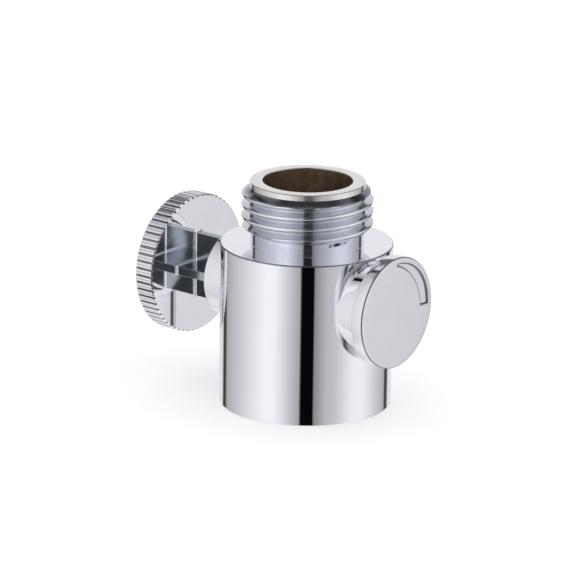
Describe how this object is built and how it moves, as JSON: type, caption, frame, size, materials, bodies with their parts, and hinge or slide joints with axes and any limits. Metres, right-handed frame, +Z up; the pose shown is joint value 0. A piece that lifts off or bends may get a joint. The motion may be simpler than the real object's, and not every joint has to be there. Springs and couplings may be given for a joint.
{
  "type": "shower flow control valve",
  "caption": "Chromed in-line shower flow control valve: upright body, threaded outlet, inlet socket, cross spindle with knurled handwheel and wedge-marked indicator cap.",
  "frame": {"origin": "the waterway axis at the body's bottom face, the mouth of the inlet socket", "axes": "+Z up along the waterway towards the outlet, +X along the spindle towards the indicator cap"},
  "size_m": [0.0444, 0.0274, 0.0364],
  "materials": {
    "body_chrome": "mirror polish",
    "wheel_chrome": "mirror polish",
    "cap_chrome": "mirror polish",
    "spindle_brass": "turned",
    "seat_white": "matte",
    "gland_plastic": "matte",
    "seal_rubber": "matte",
    "washer_steel": "satin",
    "washer_rubber": "matte",
    "screen_steel": "satin"
  },
  "bodies": {
    "valve": {"valve_body": "body_chrome", "inlet_seat": "seat_white", "outlet_seat": "seat_white", "left_gland_bush": "gland_plastic", "right_gland_bush": "gland_plastic", "left_gland_seal": "seal_rubber", "right_gland_seal": "seal_rubber", "left_spindle_seal": "seal_rubber", "right_spindle_seal": "seal_rubber", "inlet_washer": "washer_rubber", "filter_screen": "screen_steel"},
    "rotor": {"flow_spindle": "spindle_brass", "left_thrust_washer": "washer_steel", "right_thrust_washer": "washer_steel", "handwheel": "wheel_chrome", "drive_pin": "washer_steel", "cap_carrier": "gland_plastic", "end_washer": "washer_steel", "cap_screw": "washer_steel", "indicator_cap": "cap_chrome"}
  },
  "joints": [
    {"name": "spindle_turn", "type": "hinge", "parent": "valve", "child": "rotor", "pos_m": [0, 0, 0.0182], "axis": [1, 0, 0], "range_deg": [0, 90]}
  ]
}
